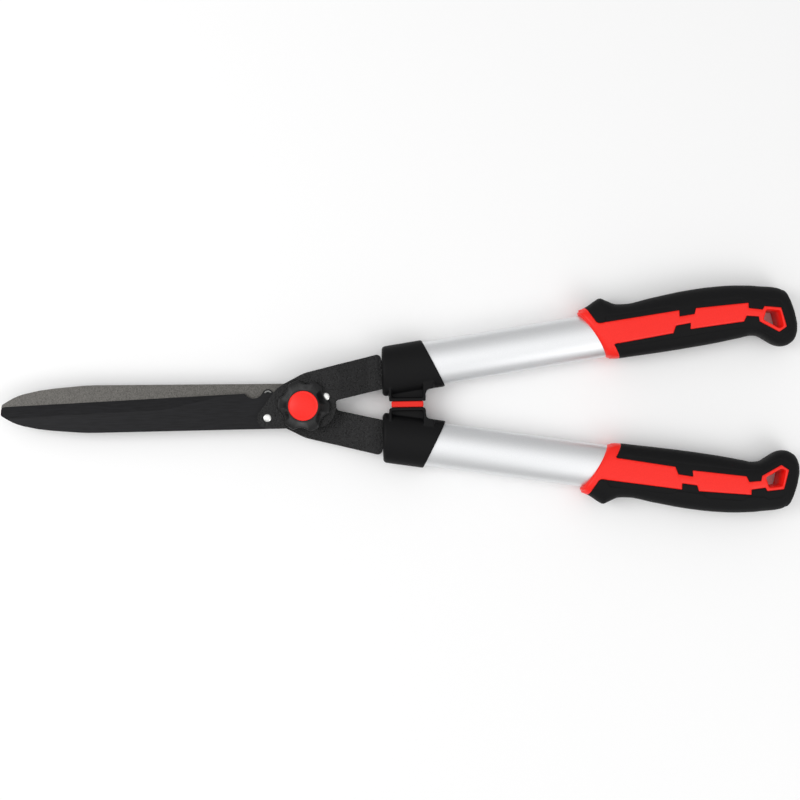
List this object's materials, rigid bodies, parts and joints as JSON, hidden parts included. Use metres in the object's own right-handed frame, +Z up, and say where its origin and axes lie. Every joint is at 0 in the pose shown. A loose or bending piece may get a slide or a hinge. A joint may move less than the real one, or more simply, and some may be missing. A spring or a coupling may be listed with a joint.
{
  "type": "hedge_shears",
  "caption": "Manual hedge shears with straight blades, a dial to set the blade tension, oval metal handles, a rubber stop and soft two-part grips",
  "frame": {"origin": "on the pivot axis, in the plane that the closed shears lie on, at the underside of the pivot bolt's head", "axes": "+X from the blade tips to the grips along the line that halves the tool, +Y towards the handle of the front blade, +Z up along the pivot axis"},
  "size_m": [0.5963, 0.1702, 0.0324],
  "materials": {
    "blade_steel": "dark coated steel with a ground inner face",
    "textured_coat": "textured black powder coat",
    "bright_steel": "bright zinc plated",
    "satin_aluminium": "satin anodised",
    "black_plastic": "fine textured",
    "red_plastic": "satin gloss",
    "soft_grip": "soft matt elastomer",
    "red_rubber": "matt"
  },
  "bodies": {
    "back_lever": {"back_blade": "blade_steel", "back_shank": "textured_coat", "back_blade_rivets": "bright_steel", "back_tang_insert": "black_plastic", "back_cross_pin": "bright_steel", "back_tube": "satin_aluminium", "back_collar": "black_plastic", "back_grip_core": "red_plastic", "back_grip_sleeve": "soft_grip", "pivot_bolt": "bright_steel", "pivot_washer": "bright_steel", "pivot_bush": "bright_steel", "spring_washer": "bright_steel"},
    "front_lever": {"front_blade": "blade_steel", "front_shank": "textured_coat", "front_blade_rivets": "bright_steel", "front_tang_insert": "black_plastic", "front_cross_pin": "bright_steel", "front_tube": "satin_aluminium", "front_collar": "black_plastic", "front_grip_core": "red_plastic", "front_grip_sleeve": "soft_grip", "stop_bumper": "red_rubber"},
    "thrust_ring": {"thrust_washer": "bright_steel"},
    "dial": {"tension_nut": "bright_steel", "tension_dial": "black_plastic", "dial_cap": "red_plastic"}
  },
  "joints": [
    {"name": "blade_pivot", "type": "hinge", "parent": "back_lever", "child": "front_lever", "pos_m": [0, 0, 0.014], "axis": [0, 0, 1], "range_deg": [0, 80]},
    {"name": "thrust_lift", "type": "slide", "parent": "back_lever", "child": "thrust_ring", "axis": [0, 0, 1], "range_m": [0, 0.00125]},
    {"name": "dial_turn", "type": "hinge", "parent": "thrust_ring", "child": "dial", "pos_m": [0, 0, 0.024], "axis": [0, 0, 1], "range_deg": [0, 360]}
  ],
  "couplings": [
    {"joint": "thrust_lift", "follows": "dial_turn", "m_per_rad": 0.00019894}
  ]
}
